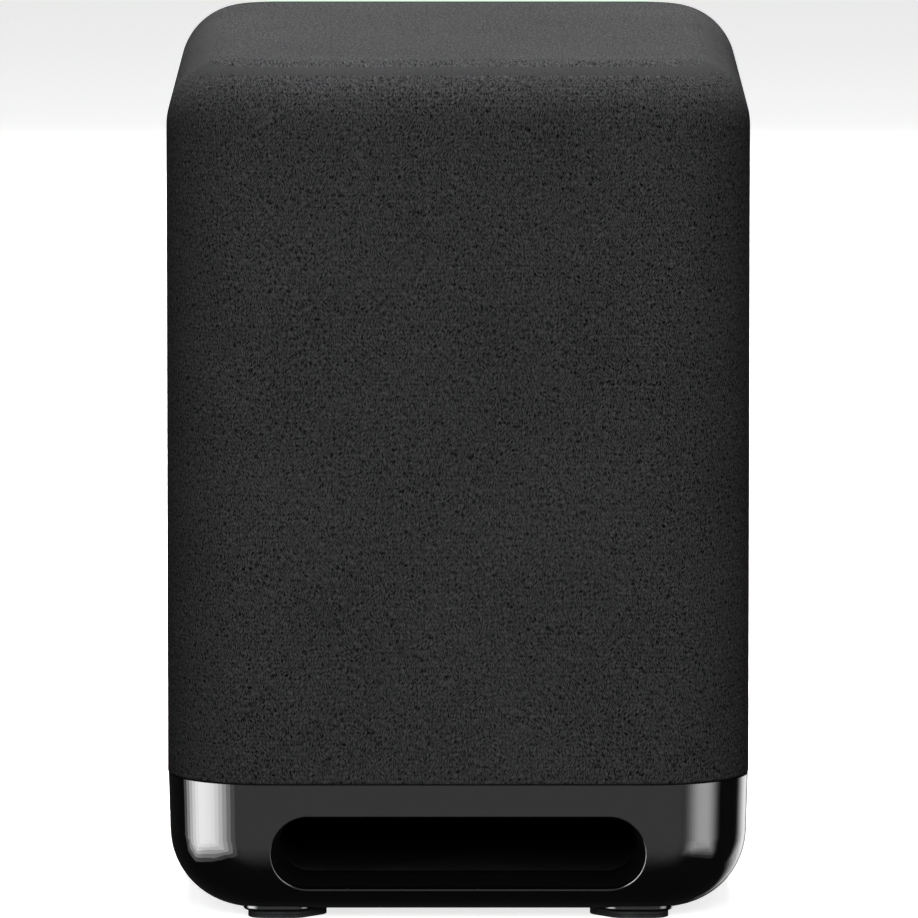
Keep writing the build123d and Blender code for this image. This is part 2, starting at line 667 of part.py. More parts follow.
with BuildPart() as heatsink:
    add(slab([(-26, 262)], (44, 62), BOARD_BACK, BOARD_BACK + 4, 1).part)
    fins = [(-26 + 7 * (row - 3), 262) for row in range(7)]
    add(slab(fins, (2, 62), BOARD_BACK + 4, BOARD_BACK + 32, 0.4).part)
save(heatsink, "heatsink")
save(slab([(-1, 248), (-1, 276)], (5, 16), BOARD_BACK, BOARD_BACK + 15), "amp_chips")

CORE = (30.0, 196.0)
CORE_FRONT = BOARD_BACK + 1
with BuildPart() as transformer_core:
    add(slab([CORE], (42, 34), CORE_FRONT, CORE_FRONT + 30, 1).part)
    window_places = [(CORE[0] + side * 11.5, CORE[1]) for side in SIDES]
    add(slab(window_places, (9, 40), CORE_FRONT + 5, CORE_FRONT + 25).part, mode=Mode.SUBTRACT)
save(transformer_core, "transformer_core")
with BuildPart() as transformer_winding:
    add(slab([CORE], (31, 47), CORE_FRONT + 5.3, CORE_FRONT + 24.7, 4).part)
    add(slab([CORE], (14.4, 34.4), CORE_FRONT + 5, CORE_FRONT + 25, 0.5).part, mode=Mode.SUBTRACT)
save(transformer_winding, "transformer_winding")

save(discs([(-34, 152), (-34, 182), (-34, 212)], 12.5, BOARD_BACK, BOARD_BACK + 32), "filter_capacitors")
save(discs([(18, 286), (42, 282)], 10, BOARD_BACK, BOARD_BACK + 11, 4.5), "output_inductors")
with BuildPart() as wireless_module:
    add(slab([(36, 252)], (34, 22), BOARD_BACK + 2, BOARD_BACK + 3, 1).part)
    add(slab([(32, 252)], (20, 16), BOARD_BACK, BOARD_BACK + 5, 1).part)
save(wireless_module, "wireless_module")
with BuildPart() as mains_fuse:
    fuse_plane = Plane.YZ.offset(20)
    for radius, length in ((2.6, 22), (3.1, 6)):
        for start in (0, 22 - length):
            with BuildSketch(fuse_plane.offset(start)):
                with Locations((BOARD_BACK + 4, 134)):
                    Circle(radius)
            extrude(amount=length)
save(mains_fuse, "mains_fuse")

# ---------------------------------------------------------------- mains inlet
INLET_FACE = REAR_Y - 0.2
INLET_SEAT = REAR_Y - 1.4
INLET_RECESS = 14.5
INLET_FLOOR = INLET_FACE - INLET_RECESS
INLET_BACK = INLET_SEAT - 17
with BuildPart() as ac_inlet:
    add(slab([(0, INLET_Z)], INLET_BODY, INLET_BACK, INLET_SEAT, 1.8).part)
    add(slab([(0, INLET_Z)], INLET_BEZEL, INLET_SEAT, INLET_FACE, 3).part)
    with BuildSketch(facing_rear(INLET_FACE)):
        with Locations((0, INLET_Z)):
            SlotOverall(17.2, 9)
    extrude(amount=INLET_RECESS, mode=Mode.SUBTRACT)
save(ac_inlet, "ac_inlet")
PINS = [(side * 4.3, INLET_Z) for side in SIDES]
save(discs(PINS, 1.2, INLET_FLOOR, INLET_FLOOR + 12), "inlet_pins")

# ---------------------------------------------------------------- controls
with BuildPart() as control_board:
    add(slab([(0, 163)], (62, 28), CONTROL_BOARD_BACK - BOARD, CONTROL_BOARD_BACK, 1).part)
    add(discs(CONTROL_POSTS, 1.3, 180, 190).part, mode=Mode.SUBTRACT)
save(control_board, "control_board")

BUTTONS = [(side * BUTTON_X, BUTTON_Z) for side in SIDES]
SWITCH_BACK = CONTROL_BOARD_BACK + 3.5
STEM_RADIUS = 1.75
with BuildPart() as tact_switches:
    add(slab(BUTTONS, (6.2, 6.2), CONTROL_BOARD_BACK, SWITCH_BACK, 0.6).part)
    add(discs(BUTTONS, STEM_RADIUS + 0.08, CONTROL_BOARD_BACK + 0.7, SWITCH_BACK).part, mode=Mode.SUBTRACT)
save(tact_switches, "tact_switches")

for side, name in zip(SIDES, ("power", "link")):
    place = (side * BUTTON_X, BUTTON_Z)
    with BuildPart() as button:
        add(discs([place], BUTTON_RADIUS, PANEL_BACK - 0.4, REAR_Y - 0.3).part)
        fillet(button.edges().group_by(Axis.Y)[-1], 0.6)
        add(discs([place], BUTTON_RADIUS + 1.1, PANEL_BACK - 2.2, PANEL_BACK - 0.4).part)
    save(button, f"{name}_button")
    stem_front = CONTROL_BOARD_BACK + 0.7 + BUTTON_TRAVEL + 0.2
    save(discs([place], STEM_RADIUS, stem_front, PANEL_BACK - 2.2), f"{name}_plunger")
    lens = discs([(side * BUTTON_X, LED_Z)], 1.5, CONTROL_BOARD_BACK + 0.3, REAR_Y - 0.1)
    save(lens, f"{name}_led_lens")


# ---------------------------------------------------------------- leads inside
def lead(points, bend, radius):
    """A new part: a round lead along points, its corners rounded to the radius bend."""
    with BuildPart() as run:
        with BuildLine() as route:
            FilletPolyline(*points, radius=bend)
        path = route.wire()
        with BuildSketch(Plane(origin=path @ 0, z_dir=path % 0)):
            Circle(radius)
        sweep(path=path)
    wanted = pi * radius**2 * path.length
    print("lead bend", bend, "volume ratio", round(run.part.volume / wanted, 4))
    return run


speaker_route = [
    (GROMMET[0], BOARD_BACK + 0.3, 125), (GROMMET[0], BOARD_BACK + 21, 125),
    (GROMMET[0], BOARD_BACK + 21, GROMMET[1]), (GROMMET[0], 100, GROMMET[1]),
    (GROMMET[0], 100, 149), (0, -95, 149), (0, DRIVER_FRONT + 51.5, 149),
]
save(lead(speaker_route, 8, 2.6), "speaker_lead")

with BuildPart() as mains_wires:
    for side in SIDES:
        wire_route = [
            (side * 4.3, INLET_BACK - 0.2, INLET_Z), (side * 4.3, 162, INLET_Z),
            (side * 4.3, 162, 119), (side * 4.3, BOARD_BACK + 0.2, 119),
        ]
        add(lead(wire_route, 5, 1.1).part)
save(mains_wires, "mains_wires")

# ---------------------------------------------------------------- wadding under the cabinet top
with BuildPart() as damping_wadding:
    with BuildSketch(Plane.XY.offset(344)):
        with Locations((0, 95)):
            RectangleRounded(190, 150, 20)
    extrude(amount=25)
    fillet(damping_wadding.edges().group_by(Axis.Z)[0], 8)
    fillet(damping_wadding.edges().group_by(Axis.Z)[-1], 8)
save(damping_wadding, "damping_wadding")
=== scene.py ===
"""The looks of a wireless subwoofer: its knit cover, gloss base and inner parts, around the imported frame.

Lengths in the settings are in metres, the row's own unit. The front faces -Y and +Z is up.
"""

import json

import bmesh
import bpy
import numpy as np
from math import radians
from mathutils import Euler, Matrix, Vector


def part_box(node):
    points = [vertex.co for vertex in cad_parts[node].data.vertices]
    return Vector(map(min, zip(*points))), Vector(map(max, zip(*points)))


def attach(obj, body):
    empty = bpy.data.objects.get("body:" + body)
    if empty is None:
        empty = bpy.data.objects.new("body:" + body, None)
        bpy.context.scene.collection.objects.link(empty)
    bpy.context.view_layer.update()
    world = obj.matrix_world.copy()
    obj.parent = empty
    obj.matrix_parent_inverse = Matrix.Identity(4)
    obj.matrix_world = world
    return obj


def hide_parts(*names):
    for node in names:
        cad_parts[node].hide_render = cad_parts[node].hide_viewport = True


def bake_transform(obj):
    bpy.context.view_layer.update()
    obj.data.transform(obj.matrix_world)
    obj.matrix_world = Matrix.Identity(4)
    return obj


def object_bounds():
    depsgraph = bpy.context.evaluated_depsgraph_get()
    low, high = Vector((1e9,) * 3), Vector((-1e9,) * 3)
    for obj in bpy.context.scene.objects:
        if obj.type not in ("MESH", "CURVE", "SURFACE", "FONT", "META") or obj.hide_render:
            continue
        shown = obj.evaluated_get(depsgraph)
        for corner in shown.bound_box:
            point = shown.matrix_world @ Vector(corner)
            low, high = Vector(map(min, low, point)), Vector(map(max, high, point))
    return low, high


bl_info = {
    "name": "Subwoofer Looks",
    "version": (1, 0, 0),
    "blender": (4, 5, 0),
    "location": "View3D > Sidebar > Subwoofer",
    "description": "Builds a subwoofer's knit cover, finishes and studio around its packed frame",
    "category": "Add Mesh",
}

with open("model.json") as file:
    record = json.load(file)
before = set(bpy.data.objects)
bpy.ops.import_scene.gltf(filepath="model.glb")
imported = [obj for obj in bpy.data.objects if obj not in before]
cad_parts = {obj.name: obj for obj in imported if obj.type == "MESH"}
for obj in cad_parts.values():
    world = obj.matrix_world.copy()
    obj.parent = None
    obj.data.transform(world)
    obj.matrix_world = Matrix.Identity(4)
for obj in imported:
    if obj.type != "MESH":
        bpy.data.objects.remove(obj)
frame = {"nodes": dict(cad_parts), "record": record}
CAD_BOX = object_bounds()
COVER_LOW, COVER_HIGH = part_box("fabric_cover")
PANEL_LOW, PANEL_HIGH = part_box("rear_panel")
SURROUND_LOW, SURROUND_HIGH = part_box("surround")
SPIDER_LOW, SPIDER_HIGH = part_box("spider")
WADDING_LOW, WADDING_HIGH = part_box("damping_wadding")
ENCLOSURE = "enclosure"
MM = 0.001
TURN = 2 * np.pi
SIDES = (-1, 1)
SHARP = radians(40)  # edges sharper than this stay crisp
ROUND_STEPS = 128  # around a turned piece


# ---------------------------------------------------------------- settings
def length(label, description, default, **limits):
    """A distance setting, shown in the scene's unit."""
    return bpy.props.FloatProperty(
        name=label, description=description, default=default, unit="LENGTH", precision=5, **limits
    )


def share(label, description, default):
    """A setting from 0 to 1."""
    return bpy.props.FloatProperty(
        name=label, description=description, default=default, min=0, max=1, subtype="FACTOR"
    )


def colour(label, description, default):
    """A linear colour setting."""
    return bpy.props.FloatVectorProperty(
        name=label, description=description, default=default, size=3, min=0, max=1, subtype="COLOR"
    )


def amount(label, description, default, least=0):
    """A plain number of the stage's settings."""
    return bpy.props.FloatProperty(name=label, description=description, default=default, min=least)


class CoverSettings(bpy.types.PropertyGroup):
    """The knit cover's form and yarn."""

    corner: length("Corner Radius", "Radius of the upright corners in plan", 46 * MM)
    top: length("Top Radius", "Radius of the roll from the sides into the top", 30.5 * MM)
    thickness: length("Cloth Thickness", "Thickness of the stretched knit", 0.9 * MM)
    hem: length("Hem Radius", "How softly the cloth turns in at its lower edge", 1.0 * MM)
    window_gap: length("Window Gap", "Gap between the cloth and the rear panel", 0.4 * MM)
    window_corner: length("Window Corner", "Corner radius of the rear window", 14.4 * MM)
    stitch: length("Stitch Width", "Width of one knit stitch", 0.9 * MM)
    yarn: colour("Yarn", "Colour of the yarn", (0.033, 0.033, 0.0335))
    fleck: share("Fleck", "How much the yarn's shade varies", 1.0)
    relief: share("Knit Relief", "Strength of the stitches' relief", 0.3)


class BaseSettings(bpy.types.PropertyGroup):
    """The gloss base's finish."""

    shade: colour("Base Shade", "Body colour of the gloss moulding", (0.0025, 0.0025, 0.0027))
    polish: share("Polish Roughness", "Roughness of the polished face", 0.04)


class DriverSettings(bpy.types.PropertyGroup):
    """The soft parts of the drive unit."""

    roll: length("Roll Radius", "Radius of the surround's half roll", 6.95 * MM)
    rubber: length("Rubber Thickness", "Thickness of the surround", 0.9 * MM)
    lip: length("Lip Width", "Width of the surround's glued lips", 4.8 * MM)
    cloth: length("Spider Thickness", "Thickness of the spider's cloth", 0.5 * MM)
    wave: length("Spider Wave", "Height of the spider's corrugations", 1.4 * MM)
    waves: bpy.props.IntProperty(name="Waves", description="Number of corrugations", default=5, min=1)


class WaddingSettings(bpy.types.PropertyGroup):
    """The damping wadding."""

    lumps: length("Lumps", "Height of the wadding's soft lumps", 1.6 * MM)
    fill: share("Fill", "How full the wadding is", 0.5)


class StageSettings(bpy.types.PropertyGroup):
    """The floor, lights and camera."""

    distance: length("Camera Distance", "From the cabinet's front to the camera", 5.778)
    height: length("Camera Height", "Height of the camera", 0.8486)
    aside: length("Camera Offset", "How far the camera stands to the right of the middle", 0.33 * MM)
    pitch: bpy.props.FloatProperty(
        name="Camera Pitch",
        description="How far the camera looks down",
        default=radians(6.31),
        subtype="ANGLE",
    )
    lens: amount("Lens", "Focal length in millimetres", 514.5, least=1)
    key: amount("Front Lights", "Power of each front light", 54.0)
    top: amount("Top Light", "Power of the light overhead", 134.0)
    back: amount("Back Lights", "Power of each light behind", 30.0)
    fill: amount("Side Lights", "Power of each light at the sides", 14.0)
    left_strip: amount("Left Strip", "Radiance of the left softbox", 16.5)
    right_strip: amount("Right Strip", "Radiance of the right softbox", 7.0)
    far_strip: amount("Far Strip", "Radiance of the far right softbox", 2.6)
    layers: bpy.props.IntProperty(
        name="Strip Layers", description="Nested panels in each softbox", default=7, min=1
    )
    haze: amount("Haze", "Brightness of the haze ahead, as the gloss mirrors it", 0.78)
    dusk: amount("Dusk", "Brightness of the haze everywhere else", 0.02)


# ---------------------------------------------------------------- surfaces
def grid_faces(rows, columns):
    """Four-sided faces that join a grid of points row by row, turned so that they face outwards."""
    first = (np.arange(rows - 1)[:, None] * columns + np.arange(columns - 1)[None, :]).ravel()
    return np.stack([first, first + 1, first + columns + 1, first + columns], axis=1)


def make_piece(name, points, faces, uv=None, flip=False):
    """A mesh object from arrays of points and faces, its doubled points merged and its faces smooth.

    uv holds one pair for each point before merging, so that a closed form keeps its seam.
    """
    if flip:
        faces = faces[:, ::-1]
    mesh = bpy.data.meshes.new(name)
    mesh.from_pydata(points.reshape(-1, 3), [], faces)
    if uv is not None:
        layer = mesh.uv_layers.new(name="cloth")
        corners = np.zeros(len(mesh.loops), np.int32)
        mesh.loops.foreach_get("vertex_index", corners)
        layer.data.foreach_set("uv", uv.reshape(-1, 2)[corners].astype(np.float32).ravel())
    merge_doubles(mesh)
    mesh.polygons.foreach_set("use_smooth", np.ones(len(mesh.polygons), bool))
    piece = bpy.data.objects.new(name, mesh)
    bpy.context.scene.collection.objects.link(piece)
    return piece


def merge_doubles(mesh):
    """Merges points that lie together and drops the faces that this closes up."""
    work = bmesh.new()
    work.from_mesh(mesh)
    bmesh.ops.remove_doubles(work, verts=work.verts, dist=1e-6)
    bmesh.ops.dissolve_degenerate(work, edges=work.edges, dist=1e-7)
    work.to_mesh(mesh)
    work.free()


def settle(piece, *modifiers):
    """Adds the modifiers, each a name, a kind and its settings, and applies them to the mesh."""
    for name, kind, settings in modifiers:
        modifier = piece.modifiers.new(name, kind)
        for key, value in settings.items():
            setattr(modifier, key, value)
    depsgraph = bpy.context.evaluated_depsgraph_get()
    shaped = piece.evaluated_get(depsgraph)
    mesh = bpy.data.meshes.new_from_object(shaped, preserve_all_data_layers=True, depsgraph=depsgraph)
    piece.modifiers.clear()
    piece.data = mesh


def rounded_ring(half_width, half_depth, radius, arc_steps, side_steps):
    """The plan of the body as a core and a direction for each point.

    A point of the plan is core + radius * direction. The core runs round a rectangle that is radius smaller
    on each side, and the direction turns a quarter circle at each of its corners. The ring starts and ends
    behind the middle. Also gives the distance run along the plan.
    """
    corner_x = half_width - radius
    corner_y = half_depth - radius
    corners = [(corner_x, corner_y), (corner_x, -corner_y), (-corner_x, -corner_y), (-corner_x, corner_y)]
    first = np.linspace(0, corner_x, side_steps // 2, endpoint=False)
    cores = [np.stack([first, np.full(len(first), corner_y)], axis=1)]
    turns = [np.full(len(first), np.pi / 2)]
    for index, (x, y) in enumerate(corners):
        start = np.pi / 2 - index * np.pi / 2
        cores.append(np.tile([x, y], (arc_steps, 1)))
        turns.append(np.linspace(start, start - np.pi / 2, arc_steps))
        if index < 3:
            ahead = np.array(corners[index + 1])
            step = np.linspace(0, 1, side_steps, endpoint=False)[1:, None]
            cores.append(np.array([x, y]) * (1 - step) + ahead * step)
            turns.append(np.full(side_steps - 1, start - np.pi / 2))
    last = np.linspace(-corner_x, 0, side_steps // 2 + 1)[1:]
    cores.append(np.stack([last, np.full(len(last), corner_y)], axis=1))
    turns.append(np.full(len(last), -3 * np.pi / 2))
    core = np.concatenate(cores)
    turn = np.concatenate(turns)
    direction = np.stack([np.cos(turn), np.sin(turn)], axis=1)
    plan = core + radius * direction
    run = np.concatenate([[0], np.cumsum(np.linalg.norm(np.diff(plan, axis=0), axis=1))])
    return core, direction, run - run[-1] / 2


def body_skin(core, direction, radius, inset, height):
    """Points of a body whose plan is drawn in by inset at each height.

    Each point is core + (radius - inset) * direction, at its height.
    """
    plan = core[None] + (radius - inset)[:, None, None] * direction[None]
    heights = np.broadcast_to(height[:, None, None], (*plan.shape[:2], 1))
    return np.concatenate([plan, heights], axis=2)


def turned_skin(radius, depth, axis_z, front_y):
    """A closed section turned about the drive unit's axis: x = r cos a, z = r sin a, y = front + depth."""
    angle = np.linspace(0, TURN, ROUND_STEPS + 1)
    x = radius[:, None] * np.cos(angle)[None]
    z = radius[:, None] * np.sin(angle)[None] + axis_z
    y = np.broadcast_to((front_y + depth)[:, None], x.shape)
    return np.stack([x, y, z], axis=2)


def thick_line(across, along, thickness):
    """A closed section around an open line: each point moved half the thickness to either side of it."""
    slope = np.stack([np.gradient(across), np.gradient(along)])
    slope /= np.linalg.norm(slope, axis=0)
    side = np.stack([-slope[1], slope[0]]) * thickness / 2
    there = np.stack([across, along]) + side
    back = (np.stack([across, along]) - side)[:, ::-1]
    loop = np.concatenate([there, back, there[:, :1]], axis=1)
    return loop[0], loop[1]


# ---------------------------------------------------------------- finishes
class Shade:
    """A number that varies over a surface. Sums and products on it add Math nodes to its finish."""

    def __init__(self, finish, socket):
        self.finish = finish
        self.socket = socket

    def math(self, operation, *values, clamp=False):
        """The result of one Math node on these values."""
        sockets = dict(enumerate(values))
        node = self.finish.node("ShaderNodeMath", {"operation": operation, "use_clamp": clamp}, sockets)
        return Shade(self.finish, node.outputs[0])

    def __add__(self, other):
        return self.math("ADD", self, other)

    __radd__ = __add__

    def __sub__(self, other):
        return self.math("SUBTRACT", self, other)

    def __rsub__(self, other):
        return self.math("SUBTRACT", other, self)

    def __mul__(self, other):
        return self.math("MULTIPLY", self, other)

    __rmul__ = __mul__

    def __truediv__(self, other):
        return self.math("DIVIDE", self, other)

    def __pow__(self, other):
        return self.math("POWER", self, other)

    def __abs__(self):
        return self.math("ABSOLUTE", self)

    def sine(self):
        """The sine, in radians."""
        return self.math("SINE", self)

    def part(self):
        """What is left over from the whole number below."""
        return self.math("FRACT", self)

    def above(self, edge):
        """1 where it is above the edge, and 0 elsewhere."""
        return self.math("GREATER_THAN", self, edge)

    def clamped(self):
        """The same, kept between 0 and 1."""
        return self.math("ADD", self, 0.0, clamp=True)

    def between(self, low, high, start=0.0, end=1.0):
        """start at or below low, end at or above high, and a smooth rise between."""
        node = self.finish.node(
            "ShaderNodeMapRange",
            {"interpolation_type": "SMOOTHSTEP"},
            {"Value": self, "From Min": low, "From Max": high, "To Min": start, "To Max": end},
        )
        return Shade(self.finish, node.outputs[0])


class Finish:
    """A material being mixed: one Principled surface and whatever feeds it."""

    def __init__(self, name, base, roughness, **constants):
        self.material = bpy.data.materials.new(name)
        self.material.use_nodes = True
        self.tree = self.material.node_tree
        self.surface = self.tree.nodes["Principled BSDF"]
        self.surface.inputs["Base Color"].default_value = (*base, 1)
        self.surface.inputs["Roughness"].default_value = roughness
        for key, value in constants.items():
            self.surface.inputs[key.replace("_", " ").title().replace("Ior", "IOR")].default_value = value
        self.material.diffuse_color = (*base, 1)
        self.base = base

    def node(self, kind, settings=None, sockets=None):
        """A node of this kind, with its settings made first and then its sockets' values or links."""
        node = self.tree.nodes.new(kind)
        for key, value in (settings or {}).items():
            setattr(node, key, value)
        for key, value in (sockets or {}).items():
            if isinstance(value, Shade):
                value = value.socket
            if isinstance(value, bpy.types.NodeSocket):
                self.tree.links.new(value, node.inputs[key])
            else:
                node.inputs[key].default_value = value
        return node

    def place(self, stretch=(1, 1, 1), uv=False):
        """The piece's own coordinates in millimetres, stretched along each axis, or its UV map's."""
        source = self.node("ShaderNodeTexCoord").outputs["UV" if uv else "Object"]
        scale = [1000 * s for s in stretch]
        return self.node("ShaderNodeMapping", None, {"Vector": source, "Scale": scale}).outputs[0]

    def axes(self, vector):
        """The three numbers of a vector."""
        split = self.node("ShaderNodeSeparateXYZ", None, {0: vector})
        return [Shade(self, socket) for socket in split.outputs]

    def noise(self, vector, size, detail=3.0, roughness=0.55):
        """Smooth cloudy noise whose clouds are about size millimetres across."""
        sockets = {"Vector": vector, "Scale": 1 / size, "Detail": detail, "Roughness": roughness}
        return Shade(self, self.node("ShaderNodeTexNoise", None, sockets).outputs[0])

    def cells(self, vector, size, feature="F1"):
        """The distance from the middle of scattered cells that are about size millimetres across."""
        sockets = {"Vector": vector, "Scale": 1 / size}
        node = self.node("ShaderNodeTexVoronoi", {"feature": feature}, sockets)
        return Shade(self, node.outputs["Distance"])

    def blend(self, share_of_second, first, second):
        """A colour between two."""
        pair = [(*c, 1) if isinstance(c, tuple) else c for c in (first, second)]
        sockets = {0: share_of_second, 6: pair[0], 7: pair[1]}
        return self.node("ShaderNodeMix", {"data_type": "RGBA"}, sockets).outputs[2]

    def shades(self, mask, darker, lighter):
        """Feeds the base colour with the base made darker and lighter by these factors, as mask says."""
        ends = [tuple(min(1.0, c * factor) for c in self.base) for factor in (darker, lighter)]
        self.feed("Base Color", self.blend(mask, *ends))

    def feed(self, socket, value):
        """Links a value or colour to one of the surface's sockets."""
        value = value.socket if isinstance(value, Shade) else value
        self.tree.links.new(value, self.surface.inputs[socket])

    def relief(self, height, depth, strength=1.0):
        """Raises and lowers the surface's look by height times depth, in millimetres."""
        sockets = {"Height": height, "Distance": depth * MM, "Strength": strength}
        self.feed("Normal", self.node("ShaderNodeBump", None, sockets).outputs[0])


def knit_cloth(name, yarn, stitch, fleck, relief):
    """A fine warp knit: rows of small leaning loops, broken up by short dashes of flecked yarn.

    On the flanks the loops follow the cloth's own run. On the flat top they follow the body's width and
    depth. Each loop is a tent across its width whose lean gives the chevron of a knit. Patches a few
    millimetres across choose between dashes that stand upright and dashes that slant either way.
    """
    cloth = Finish(name, yarn, 0.88, specular_ior_level=0.12)
    body = cloth.place()
    x, y, _ = cloth.axes(body)
    across, up, _ = cloth.axes(cloth.place(uv=True))
    facing = cloth.axes(cloth.node("ShaderNodeNewGeometry").outputs["Normal"])[2]
    on_top = facing.between(0.80, 0.92)
    run = across * (1 - on_top) + x * on_top
    rise = up * (1 - on_top) + y * on_top * 0.45

    def dashes(along, over):
        """Noise drawn out into short strokes, less than half a stitch wide and some three stitches long."""
        stretched = {0: along / (stitch * 0.42), 1: over / (stitch * 2.8)}
        stroke = cloth.noise(cloth.node("ShaderNodeCombineXYZ", None, stretched).outputs[0], 1.0, detail=1)
        return stroke.between(0.38, 0.62)

    wander = cloth.noise(body, stitch * 4, detail=2) * stitch * 2
    wale = abs(((run + wander) / stitch).part() - 0.5) * 2
    course = abs(((rise + wander) / (stitch * 1.9) + wale * 0.3).part() - 0.5) * 2
    loops = (1 - wale * 0.55) * course
    lean = cloth.noise(body, stitch * 5, detail=1)
    one_way, other_way = lean.between(0.44, 0.50, 1, 0), lean.between(0.52, 0.58)
    rising = dashes(run + rise * 0.6, rise - run * 0.6)
    falling = dashes(run - rise * 0.6, rise + run * 0.6)
    upright = dashes(run, rise)
    yarns = rising * one_way + falling * other_way + upright * (1 - one_way - other_way)
    cloudy = cloth.noise(body, 60, detail=2)
    mask = (yarns * 0.85 + loops * 0.2 + cloudy * 0.2 - 0.12).clamped()
    cloth.shades(mask * fleck + 0.5 * (1 - fleck), 0.0, 2.0)
    cloth.relief(yarns + loops * 0.5, 0.16, relief)
    cloth.feed("Roughness", yarns.between(0.2, 0.8, 0.95, 0.82))
    return cloth.material


def gloss_moulding(name, shade, polish):
    """Polished black plastic: a deep body under a hard face, with faint waves and a trace of fine dust."""
    gloss = Finish(name, shade, polish, ior=1.5)
    body = gloss.place()
    dust = gloss.cells(body, 1.7).between(0.05, 0.12, 1.0, 0.0) * gloss.noise(body, 25).between(0.5, 0.75)
    gloss.feed("Base Color", gloss.blend(dust * 0.25, shade, (0.03, 0.03, 0.03)))
    wear = gloss.noise(body, 40, detail=4).between(0.35, 0.75, polish, polish * 2)
    gloss.feed("Roughness", wear + dust * 0.05)
    gloss.relief(gloss.noise(body, 12, detail=1), 0.004, 0.25)
    return gloss.material


def textured_moulding(name, base, grain=0.55, roughness=0.5):
    """Moulded plastic with the fine pebbled grain of an etched tool."""
    plastic = Finish(name, base, roughness, ior=1.47)
    body = plastic.place()
    pebbles = plastic.cells(body, grain, "SMOOTH_F1") + plastic.noise(body, grain * 1.6, detail=2) * 0.6
    rubbed = plastic.noise(body, 35, detail=4)
    plastic.shades(rubbed.between(0.35, 0.7), 0.85, 1.2)
    plastic.feed("Roughness", rubbed.between(0.3, 0.75, roughness - 0.08, roughness + 0.1))
    plastic.relief(pebbles, grain * 0.12, 0.5)
    return plastic.material


def soft_rubber(name, base, roughness=0.72, bloom=0.25):
    """Soft rubber: matt, with a dusty bloom in patches and a faint skin."""
    rubber = Finish(name, base, roughness, specular_ior_level=0.35)
    body = rubber.place()
    patches = rubber.noise(body, 9, detail=5, roughness=0.65)
    rubber.shades(patches.between(0.35, 0.7), 0.85, 1 + bloom * 2)
    rubber.feed("Roughness", patches.between(0.3, 0.7, roughness + 0.1, roughness - 0.12))
    rubber.relief(rubber.noise(body, 0.5, detail=3), 0.05, 0.5)
    return rubber.material


def closed_foam(name, base):
    """Closed-cell foam: small round cells, with painted shade darkening their hollows."""
    foam = Finish(name, base, 0.9, specular_ior_level=0.2)
    cells = foam.cells(foam.place(), 0.8)
    # painted shade: colour darker in each cell's hollow
    foam.shades(cells.between(0.1, 0.6), 0.6, 1.4)
    foam.relief(cells, 0.15, 0.7)
    return foam.material


def powder_coat(name, base, roughness=0.42):
    """Powder-coated steel: a fine orange-peel skin."""
    coat = Finish(name, base, roughness, ior=1.5)
    body = coat.place()
    peel = coat.noise(body, 1.1, detail=2)
    coat.shades(coat.noise(body, 30, detail=3).between(0.3, 0.7), 0.85, 1.2)
    coat.feed("Roughness", peel.between(0.3, 0.7, roughness - 0.06, roughness + 0.08))
    coat.relief(peel, 0.05, 0.6)
    return coat.material


def bare_metal(name, base, roughness=0.32, stretch=(1, 1, 1), mottle=8.0):
    """Bare or plated metal: drawn marks along one direction and a soft mottle."""
    metal = Finish(name, base, roughness, metallic=1.0)
    marks = metal.noise(metal.place(stretch), 0.35, detail=3, roughness=0.7)
    spangle = metal.noise(metal.place(), mottle, detail=4)
    metal.shades((marks * 0.5 + spangle * 0.5).between(0.35, 0.65), 0.82, 1.08)
    worn = marks * 0.6 + spangle * 0.4
    metal.feed("Roughness", worn.between(0.3, 0.7, roughness - 0.1, roughness + 0.12))
    metal.relief(marks, 0.01, 0.4)
    return metal.material


def fibreboard(name, base):
    """Raw fibreboard: short pale and dark fibres pressed flat."""
    board = Finish(name, base, 0.8, specular_ior_level=0.25)
    fibres = board.noise(board.place((1, 0.35, 1)), 0.9, detail=6, roughness=0.75)
    clouds = board.noise(board.place(), 22, detail=3)
    board.shades((fibres * 0.75 + clouds * 0.25).between(0.3, 0.7), 0.62, 1.28)
    board.relief(fibres, 0.08, 0.5)
    return board.material


def pressed_pulp(name, base):
    """Paper pulp pressed on a screen: matt, with short raised fibres."""
    pulp = Finish(name, base, 0.82, specular_ior_level=0.25)
    body = pulp.place()
    fibres = pulp.noise(body, 0.8, detail=6, roughness=0.8)
    pulp.shades(fibres.between(0.3, 0.7), 0.6, 1.6)
    pulp.relief(fibres, 0.12, 0.6)
    return pulp.material


def dipped_weave(name, base, thread=0.7):
    """Open woven cloth stiffened with resin: crossing threads seen from the front."""
    weave = Finish(name, base, 0.6, specular_ior_level=0.4)
    x, _, z = weave.axes(weave.place())
    rate = np.pi / thread
    over = abs((x * rate).sine()) + abs((z * rate).sine())
    weave.shades(over.between(0.4, 1.7), 0.5, 1.25)
    weave.relief(over, 0.12, 0.8)
    return weave.material


def wound_wire(name, base, pitch, axis):
    """Enamelled wire wound side by side along one axis, with painted shade in the grooves between turns."""
    wire = Finish(name, base, 0.28, metallic=0.85)
    along = wire.axes(wire.place())[axis]
    turns = abs((along * (np.pi / pitch)).sine())
    # painted shade in the grooves between turns and a faint painted highlight along each turn's crown
    wire.shades(turns.between(0.1, 0.8), 0.35, 1.1)
    wire.relief(turns, 0.1, 0.9)
    return wire.material


def sintered_ferrite(name, base):
    """Ground ferrite: dark, close-grained, with tiny chips of shine."""
    ferrite = Finish(name, base, 0.5, specular_ior_level=0.6)
    body = ferrite.place()
    grain = ferrite.noise(body, 0.5, detail=5, roughness=0.8)
    ferrite.shades(grain.between(0.3, 0.75), 0.7, 1.5)
    ferrite.feed("Roughness", grain.between(0.35, 0.7, 0.6, 0.35))
    ferrite.relief(grain, 0.03, 0.5)
    return ferrite.material


